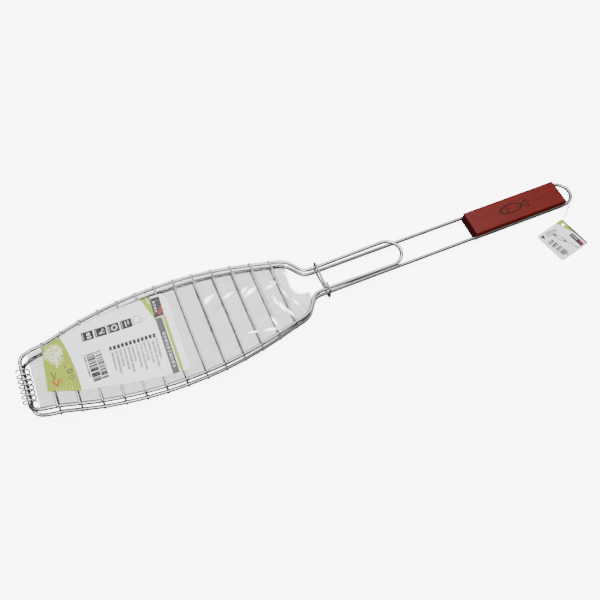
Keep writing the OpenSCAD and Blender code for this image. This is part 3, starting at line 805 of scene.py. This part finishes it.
# ------------------------------------------------------------------ grip
def grip():
    c, w, t = 1.4, GW, GTK
    seg = 5
    sec = []

    def corner(cy, cz, a0, a1, r, k=seg):
        return [(cy + r * math.cos(a), cz + r * math.sin(a)) for a in np.radians(np.linspace(a0, a1, k + 1))]
    # right side (+y) from the bottom up, with the groove
    g = FR + 0.03
    ang = math.acos(min(1, (w - ARM) / g))
    gr = [(ARM + g * math.cos(a), LOW + g * math.sin(a)) for a in np.linspace(-ang, -2 * math.pi + ang, 22)]
    right = corner(w - c, c, -90, 0, c) + [(w, c + (LOW - g * math.sin(ang) - 0.25 - c) * 0.6)]
    right += [(w, LOW - g * math.sin(ang) - 0.25), (w - 0.08, LOW - g * math.sin(ang) - 0.05)] + gr[1:-1] + [(w - 0.08, LOW + g * math.sin(ang) + 0.05), (w, LOW + g * math.sin(ang) + 0.25)]
    right += [(w, LOW + 3.5), (w, t - c - 2)] + corner(w - c, t - c, 0, 90, c)
    topl = [(y, t) for y in np.linspace(w - c, -(w - c), 15)[1:-1]]
    left = [(-q[0], q[1]) for q in reversed(right)]
    bot = [(y, 0) for y in np.linspace(-(w - c), w - c, 15)[1:-1]]
    sec = right + topl + left + bot
    n = len(sec)
    L = GX1 - GX0
    xs = [0, 0.12, 0.35, 0.7, 1.1, 1.6, 2.1, 2.6, 3.2, 4.2] + list(np.linspace(6, L - 6, 60)) + [L - v for v in (4.2, 3.2, 2.6, 2.1, 1.6, 1.1, 0.7, 0.35, 0.12, 0)]
    verts, faces = [], []
    for x in xs:
        d = min(x, L - x)
        r1 = 0.7
        inset = 0 if d >= r1 else r1 - math.sqrt(max(0, r1 * r1 - (r1 - d) ** 2))
        b = 2.9
        drop = 0 if d >= b else (b - math.sqrt(max(0, b * b - (b - d) ** 2))) * 0.85
        for (y, z) in sec:
            zz = min(z, t - drop) if z > LOW + 3 else z
            zz = max(zz, inset * 0.7)
            rp = 2.4
            plan = 0 if d >= rp else rp - math.sqrt(max(0, rp * rp - (rp - d) ** 2))
            ynew = math.copysign(min(abs(y), w - plan), y)
            k = 0.06 * noise.noise(Vector((x * 0.035, y * 0.12, zz * 0.12)))
            near = abs(abs(y) - ARM) < 3.2 and abs(z - LOW) < 3.2
            verts.append((GX0 + x, ynew - (0 if near else abs(k) * math.copysign(1, y) * (abs(y) > 14)), max(0.0, min(t, zz - (abs(k) if z > t - 2 else 0)))))
    for i in range(len(xs) - 1):
        for j in range(n):
            k = (j + 1) % n
            faces.append((i * n + j, (i + 1) * n + j, (i + 1) * n + k, i * n + k))
    faces.append(tuple(range(n)))
    faces.append(tuple(reversed([(len(xs) - 1) * n + j for j in range(n)])))
    ob = new_mesh("wooden_grip", verts, faces, M_WOOD, True, "bottom_half", ["handle_grip"])
    bm = bmesh.new()
    bm.from_mesh(ob.data)
    ends = [f for f in bm.faces if len(f.verts) > 4]
    bmesh.ops.triangulate(bm, faces=ends)
    bmesh.ops.recalc_face_normals(bm, faces=bm.faces)
    bm.to_mesh(ob.data)
    bm.free()
    for p in ob.data.polygons:
        p.use_smooth = abs(p.normal.x) < 0.98
    return ob


grip()

# ------------------------------------------------------------------ packaging card: cut to its outline, slightly curled
CARD = [(0, 29.5), (22, 36), (63, 43.5), (106, 46), (131, 45), (135, 38), (134.5, -4), (132.5, -50.5), (104, -48.5), (72, -43), (43, -36), (25, -31.5), (-5, -20), (-2.5, 7)]


def on_top(x, y, lift):
    """A point over the top half, lift above its frame's plane."""
    c, s = math.cos(WEDGE), math.sin(WEDGE)
    return (x * c + lift * s, y, top_z(0) - x * s + lift * c)


def row_span(x, poly):
    ys = []
    for (x0, y0), (x1, y1) in zip(poly, poly[1:] + poly[:1]):
        if (x0 <= x < x1) or (x1 <= x < x0):
            ys.append(y0 + (y1 - y0) * (x - x0) / (x1 - x0))
    return (min(ys), max(ys)) if len(ys) >= 2 else None


def card_lift(x, y):
    k = 0.22 * math.sin(x * 0.06 + 1.0) * math.cos(y * 0.05) + 0.12 * noise.noise(Vector((x * 0.05, y * 0.05, 3)))
    return LOW + 0.12 + max(0.0, 0.16 + k)


xs = [-4.95] + list(np.arange(-4, 134.9, 1.5)) + [134.95]
NV = 40
cv, cuv, cf = [], [], []
for th in (0.32, 0.0):
    for x in xs:
        a, b = row_span(min(max(x, -4.95), 134.95), CARD)
        for j in range(NV + 1):
            y = a + (b - a) * j / NV
            cv.append(on_top(x, y, card_lift(x, y) + th))
            cuv.append((x * MM, y * MM))
nx = len(xs)
L = nx * (NV + 1)
for i in range(nx - 1):
    for j in range(NV):
        q = i * (NV + 1) + j
        cf.append((q, q + NV + 1, q + NV + 2, q + 1))
ntop = len(cf)
for i in range(nx - 1):
    for j in range(NV):
        q = L + i * (NV + 1) + j
        cf.append((q, q + 1, q + NV + 2, q + NV + 1))
for i in range(nx - 1):
    q = i * (NV + 1)
    cf.append((q, L + q, L + q + NV + 1, q + NV + 1))
    q += NV
    cf.append((q, q + NV + 1, L + q + NV + 1, L + q))
for j in range(NV):
    cf.append((j, j + 1, L + j + 1, L + j))
    q = (nx - 1) * (NV + 1) + j
    cf.append((q, L + q, L + q + 1, q + 1))
card = new_mesh("insert_card_sheet", cv, cf, [M_CARD, M_CARD_BACK], False, "top_half", ["insert_card"])
lay = card.data.uv_layers.new(name="mm")
for lp in card.data.loops:
    lay.data[lp.index].uv = cuv[lp.vertex_index]
for i, p in enumerate(card.data.polygons):
    p.material_index = 0 if i < ntop else 1
    p.use_smooth = i < 2 * ntop


# ------------------------------------------------------------------ clear film over the top half
def film():
    X0, X1 = -18.0, 279.5
    nx, ny = 260, 150
    verts, uvs, tight = [], [], []

    def fbm(x, y, s, o):
        return noise.noise(Vector((x * s, y * s, o))) + 0.5 * noise.noise(Vector((x * s * 2.1, y * s * 2.1, o + 9)))
    for i in range(nx + 1):
        fx = i / nx
        for j in range(ny + 1):
            q = 2 * j / ny - 1          # -1..1 across
            sy = 1 if q >= 0 else -1
            a = abs(q)
            edge = float(np.interp(q * 46, [-50, -19, -16, -12, -5, 6, 22, 30, 50], [280, 279.5, 275.5, 270.5, 265.5, 263.3, 265, 266, 268.5]))
            x = X0 + (edge + 0.5 * noise.noise(Vector((q * 9, 1.7, 0.3))) - X0) * fx
            w = width_at(min(x, 279))
            # across the section: flat top, shoulder, skirt and a lip tucked under the frame
            T = w + 11.0               # unrolled half width
            u = a * T
            if u < w - 12:
                y, z = u, LOW + 0.35
            elif u < w + 0.5:
                k = (u - (w - 12)) / 12.5
                y, z = u, LOW + 0.35 - 0.75 * (3 * k * k - 2 * k ** 3)
            elif u < w + 7.5:
                k = (u - (w + 0.5)) / 7.0
                ang = math.pi * 0.9 * k
                y, z = w + 0.5 + 2.25 * math.sin(ang), 0.9 + (LOW - 1.3) * math.cos(ang)
            else:
                k = (u - (w + 7.5)) / 3.5
                y, z = w + 1.2 - 2.6 * k, -2.55 + 0.1 * k
            fade = min(1, max(0, (w + 1 - u) / 10))
            near = (x % 21.0) / 21.0
            sag = math.sin(math.pi * near) ** 2
            on_card = 1.0 if (-5 < x < 135) else 0.0
            if on_card:
                sp = row_span(min(max(x, -4.9), 134.9), CARD)
                on_card = 1.0 if sp and sp[0] - 1 < sy * y < sp[1] + 1 else 0.0
            z += fade * (-0.55 * sag * (1 - on_card) * (0.6 + 0.8 * fbm(x, q * 40, 0.06, 2.0)))
            z += on_card * 0.62
            wr = fbm(x * 0.9 + 14 * q, q * 60, 0.075, 5.0)
            ridge = (1 - abs(wr)) ** 6
            loose = 0.35 + 0.9 * max(0, (x - 190) / 90) ** 1.3
            z += (0.30 if on_card else 0.42 * loose) * ridge * (0.25 + 0.75 * fade)
            if a > 0.86:
                y += 0.30 * fbm(x, 3 * sy, 0.16, 8.0) + 0.2 * noise.noise(Vector((x * 0.7, sy * 4.0, z * 0.3)))
            bulge = math.exp(-((x - 248) / 9) ** 2) if sy > 0 else 0.0
            if u > w - 4:
                y += 3.4 * bulge * min(1, (u - (w - 4)) / 5)
                z += 1.2 * bulge * min(1, (u - (w - 4)) / 5) * (1 if z > 0 else 0)
            drape = max(0.0, (x - 262) / 20)
            z -= drape ** 1.5 * 1.6 * (1 if u < w else 0.4)
            z = max(z, -2.8)
            verts.append(on_top(x, sy * y, z))
            uvs.append((x * MM, sy * y * MM))
            tight.append(max(on_card, min(1.0, max(0.0, (u - w + 3.0) / 3.0))))
    faces = []
    for i in range(nx):
        for j in range(ny):
            q = i * (ny + 1) + j
            faces.append((q, q + ny + 1, q + ny + 2, q + 1))
    ob = new_mesh("film_sheet", verts, faces, M_FILM, True, "top_half", ["film_cover"])
    lay = ob.data.uv_layers.new(name="mm")
    for lp in ob.data.loops:
        lay.data[lp.index].uv = uvs[lp.vertex_index]
    at = ob.data.attributes.new("tight", "FLOAT", "POINT")
    for i, v in enumerate(tight):
        at.data[i].value = v
    return ob


def film_under():
    """The film's other side, drawn tight under the top half's frame; its dark grey tint is painted shade."""
    nx, ny = 200, 60
    verts, uvs = [], []
    for i in range(nx + 1):
        for j in range(ny + 1):
            q = 2 * j / ny - 1
            edge = float(np.interp(q * 46, [-50, -19, -16, -12, -5, 6, 22, 30, 50], [280, 279.5, 275.5, 270.5, 265.5, 263.3, 265, 266, 268.5]))
            x = -17.0 + (edge - 1.0 + 17.0) * i / nx
            w = width_at(min(x, 279)) - 1.0
            y = w * q
            z = -2.45 - 0.5 * (1 - abs(q) ** 4) * (1 + noise.noise(Vector((x * 0.03, y * 0.05, 4.0)))) - 0.15 * noise.noise(Vector((x * 0.12, y * 0.1, 7.0))) ** 2
            verts.append(on_top(x, y, z))
            uvs.append((x * MM, y * MM))
    faces = []
    for i in range(nx):
        for j in range(ny):
            k = i * (ny + 1) + j
            faces.append((k, k + ny + 1, k + ny + 2, k + 1))
    ob = new_mesh("film_underside", verts, faces, M_FILM_LOW_SHADE, True, "top_half", ())
    lay = ob.data.uv_layers.new(name="mm")
    for lp in ob.data.loops:
        lay.data[lp.index].uv = uvs[lp.vertex_index]
    return ob


under_ob = film_under()
film_ob = film()

# ------------------------------------------------------------------ floor and light
fm = G("pale_floor")
fo = fm.coords()
# painted shade: the floor shows near black (0.07) to reflection rays only, so the wires' undersides reflect dark
floor_reflection_ray = fm.node("ShaderNodeLightPath")
fm.set("Base Color", fm.mix(floor_reflection_ray.outputs["Is Glossy Ray"], fm.mix(fm.noise(fo, 3, 2), (0.90, 0.90, 0.90), (0.915, 0.915, 0.915)), (0.07, 0.07, 0.07)))
fm.set("Roughness", 0.6)
fm.set("Emission Color", (1, 1, 1, 1))
lp = fm.node("ShaderNodeLightPath")
fm.set("Emission Strength", fm.math("MULTIPLY", lp.outputs["Is Camera Ray"], 6.2))
me = bpy.data.meshes.new("floor")
me.from_pydata([(-40, -40, 0), (40, -40, 0), (40, 40, 0), (-40, 40, 0)], [], [(0, 1, 2, 3)])
floor = bpy.data.objects.new("floor", me)
floor.location.z = -0.0002
me.materials.append(fm.m)
bpy.context.scene.collection.objects.link(floor)


def area_light(name, loc, target, size, power, size_y=None, color=(1, 1, 1)):
    d = bpy.data.lights.new(name, "AREA")
    d.energy, d.size, d.color = power, size, color
    if size_y:
        d.shape, d.size_y = "RECTANGLE", size_y
    ob = bpy.data.objects.new(name, d)
    bpy.context.scene.collection.objects.link(ob)
    ob.location = loc
    ob.rotation_euler = (Vector(target) - Vector(loc)).to_track_quat("-Z", "Y").to_euler()
    return ob


area_light("key", (-0.5, -0.6, 1.5), (0, 0, 0), 0.6, 30)
area_light("top_soft", (0.3, 0.6, 1.7), (0, 0, 0), 1.2, 34)
area_light("side_soft", (1.4, -0.2, 0.8), (0, 0, 0), 0.5, 8)
w = bpy.data.worlds.new("studio")
bpy.context.scene.world = w
w.use_nodes = True
wt = w.node_tree
bg = wt.nodes["Background"]
tc = wt.nodes.new("ShaderNodeTexCoord")
sp = wt.nodes.new("ShaderNodeSeparateXYZ")
rm = wt.nodes.new("ShaderNodeValToRGB")
for _ in range(3):
    rm.color_ramp.elements.new(0.5)
for e, (pos, v) in zip(rm.color_ramp.elements, ((0.0, 0.015), (0.30, 0.03), (0.52, 0.22), (0.78, 0.95), (1.0, 1.1))):
    e.position = pos
    e.color = (v, v, v * 1.02, 1)
wt.links.new(tc.outputs["Generated"], sp.inputs[0])
wt.links.new(sp.outputs[2], rm.inputs[0])
pale = wt.nodes.new("ShaderNodeMixRGB")
pale.inputs[2].default_value = (6.6, 6.6, 6.6, 1)
wl = wt.nodes.new("ShaderNodeLightPath")
wt.links.new(wl.outputs["Is Camera Ray"], pale.inputs[0])
wt.links.new(rm.outputs[0], pale.inputs[1])
wt.links.new(pale.outputs[0], bg.inputs[0])
bg.inputs[1].default_value = 1.0
